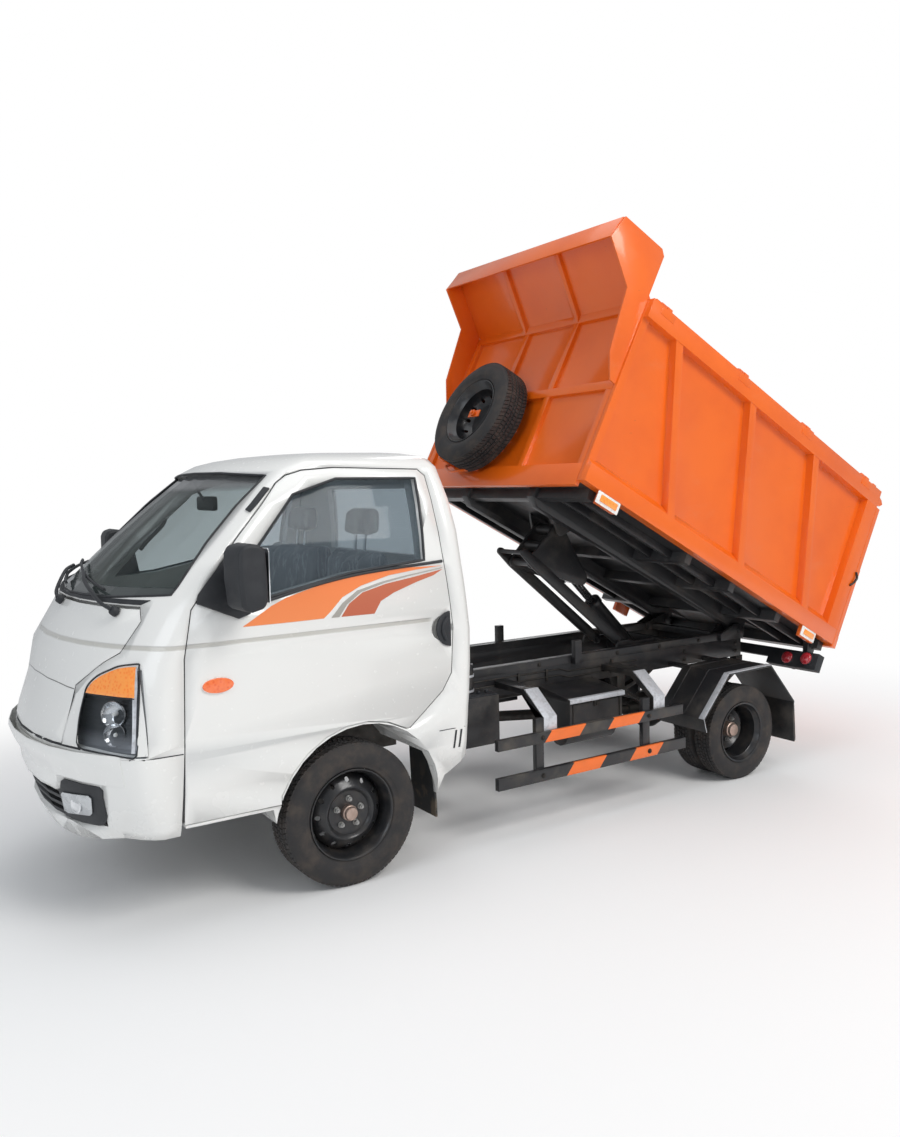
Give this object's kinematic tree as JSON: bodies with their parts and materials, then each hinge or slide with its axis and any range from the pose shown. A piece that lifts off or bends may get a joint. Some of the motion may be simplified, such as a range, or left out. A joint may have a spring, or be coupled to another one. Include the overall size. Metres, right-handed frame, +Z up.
{
  "type": "garbage truck",
  "caption": "Small forward-cab light truck with a covered steel tipper body for household waste, shown raised on its hoist, with hinged doors, roof lids and tailgate.",
  "frame": {"origin": "on the ground, at the middle of the whole truck's box", "axes": "+X forward, +Y to the truck's left, +Z up"},
  "size_m": [5.2051, 2.18, 3.2026],
  "materials": {
    "white_paint": "gloss",
    "orange_paint": "gloss",
    "black_paint": "semi-gloss",
    "black_plastic": "grained",
    "tyre": "matt",
    "flap_rubber": "matt",
    "black_steel": "satin",
    "cast_metal": "as cast",
    "polished_steel": "ground and plated",
    "glass": "clear, faint green",
    "lamp_lens": "clear over a bright reflector",
    "red_lens": "gloss",
    "seat_cloth": "woven"
  },
  "bodies": {
    "chassis": {"chassis_frame": "black_paint", "tipping_subframe": "black_paint", "cab_shell": "white_paint", "front_bumper": "white_paint", "bumper_grille": "black_plastic", "windscreen": "glass", "rear_window": "glass", "headlamp_left": "lamp_lens", "headlamp_right": "lamp_lens", "dashboard": "black_plastic", "driver_seat": "seat_cloth", "passenger_seat": "seat_cloth", "wipers": "black_plastic", "front_axle": "black_steel", "rear_axle": "black_steel", "engine_block": "cast_metal", "exhaust": "black_steel", "fuel_tank": "black_paint", "tool_box": "black_paint", "hydraulic_unit": "black_paint", "side_guard_left": "black_paint", "side_guard_right": "black_paint", "mudguard_left": "black_plastic", "mudguard_right": "black_plastic", "front_flap_left": "flap_rubber", "front_flap_right": "flap_rubber"},
    "front_cover": {"bonnet": "white_paint"},
    "left_door": {"door_left": "white_paint", "door_glass_left": "glass", "mirror_left": "black_plastic"},
    "right_door": {"door_right": "white_paint", "door_glass_right": "glass", "mirror_right": "black_plastic"},
    "left_knuckle": {"knuckle_left": "black_steel"},
    "right_knuckle": {"knuckle_right": "black_steel"},
    "left_front_wheel": {"front_tyre_left": "tyre", "front_rim_left": "black_steel"},
    "right_front_wheel": {"front_tyre_right": "tyre", "front_rim_right": "black_steel"},
    "left_rear_wheels": {"rear_tyre_outer_left": "tyre", "rear_tyre_inner_left": "tyre", "rear_rims_left": "black_steel"},
    "right_rear_wheels": {"rear_tyre_outer_right": "tyre", "rear_tyre_inner_right": "tyre", "rear_rims_right": "black_steel"},
    "bed": {"bed_floor": "black_paint", "bed_side_left": "orange_paint", "bed_side_right": "orange_paint", "bed_headboard": "orange_paint", "spare_tyre": "tyre", "spare_rim": "black_steel", "tail_lamps": "red_lens"},
    "rear_gate": {"tailgate": "orange_paint"},
    "left_lid": {"lid_left": "orange_paint"},
    "right_lid": {"lid_right": "orange_paint"},
    "hoist_arm": {"lift_arm": "black_paint"},
    "hoist_links": {"tension_link": "black_paint"},
    "hoist_barrel": {"cylinder_barrel": "black_paint"},
    "hoist_rod": {"cylinder_rod": "polished_steel"}
  },
  "joints": [
    {"name": "bed_tilt", "type": "hinge", "parent": "chassis", "child": "bed", "pos_m": [-1.7424, 0, 0.8065], "axis": [0, -1, 0], "range_deg": [-27.81, 12.19]},
    {"name": "arm_turn", "type": "hinge", "parent": "bed", "child": "hoist_arm", "pos_m": [-0.45618, 0, 1.51885], "axis": [0, -1, 0], "range_deg": [-18.5, 42]},
    {"name": "links_turn", "type": "hinge", "parent": "chassis", "child": "hoist_links", "pos_m": [-0.938, 0, 0.78], "axis": [0, -1, 0], "range_deg": [-45, 20]},
    {"name": "barrel_turn", "type": "hinge", "parent": "chassis", "child": "hoist_barrel", "pos_m": [-1.138, 0, 0.715], "axis": [0, -1, 0], "range_deg": [-62, 27]},
    {"name": "rod_stroke", "type": "slide", "parent": "hoist_barrel", "child": "hoist_rod", "axis": [0.7085, 0, 0.7057], "range_m": [-0.045, 0.02]},
    {"name": "gate_swing", "type": "hinge", "parent": "bed", "child": "rear_gate", "pos_m": [-2.57868, 0, 1.62034], "axis": [0, 1, 0], "range_deg": [0, 70]},
    {"name": "left_lid_swing", "type": "hinge", "parent": "bed", "child": "left_lid", "pos_m": [-2.59227, 0.825, 1.7104], "axis": [-0.8845, 0, -0.4665], "range_deg": [0, 110]},
    {"name": "right_lid_swing", "type": "hinge", "parent": "bed", "child": "right_lid", "pos_m": [-2.59227, -0.825, 1.7104], "axis": [0.8845, 0, 0.4665], "range_deg": [0, 110]},
    {"name": "left_door_swing", "type": "hinge", "parent": "chassis", "child": "left_door", "pos_m": [2.147, 0.872, 1], "axis": [0, 0, -1], "range_deg": [0, 65]},
    {"name": "right_door_swing", "type": "hinge", "parent": "chassis", "child": "right_door", "pos_m": [2.147, -0.872, 1], "axis": [0, 0, 1], "range_deg": [0, 65]},
    {"name": "front_cover_swing", "type": "hinge", "parent": "chassis", "child": "front_cover", "pos_m": [2.162, 0, 1.45], "axis": [0, -1, 0], "range_deg": [0, 50]},
    {"name": "left_steer", "type": "hinge", "parent": "chassis", "child": "left_knuckle", "pos_m": [1.362, 0.69, 0.3325], "axis": [0, 0, 1], "range_deg": [-35, 35]},
    {"name": "right_steer", "type": "hinge", "parent": "chassis", "child": "right_knuckle", "pos_m": [1.362, -0.69, 0.3325], "axis": [0, 0, 1], "range_deg": [-35, 35]},
    {"name": "left_front_spin", "type": "hinge", "parent": "left_knuckle", "child": "left_front_wheel", "pos_m": [1.362, 0.7425, 0.3325], "axis": [0, 1, 0], "continuous": true},
    {"name": "right_front_spin", "type": "hinge", "parent": "right_knuckle", "child": "right_front_wheel", "pos_m": [1.362, -0.7425, 0.3325], "axis": [0, 1, 0], "continuous": true},
    {"name": "left_rear_spin", "type": "hinge", "parent": "chassis", "child": "left_rear_wheels", "pos_m": [-1.278, 0.6615, 0.285], "axis": [0, 1, 0], "continuous": true},
    {"name": "right_rear_spin", "type": "hinge", "parent": "chassis", "child": "right_rear_wheels", "pos_m": [-1.278, -0.6615, 0.285], "axis": [0, 1, 0], "continuous": true}
  ],
  "couplings": [
    {"joint": "arm_turn", "follows": "bed_tilt", "ratio": -1.5},
    {"joint": "links_turn", "follows": "bed_tilt", "ratio": 1.6},
    {"joint": "barrel_turn", "follows": "bed_tilt", "ratio": 2.2},
    {"joint": "rod_stroke", "follows": "bed_tilt", "m_per_rad": 0.09},
    {"joint": "right_steer", "follows": "left_steer", "ratio": 1}
  ]
}
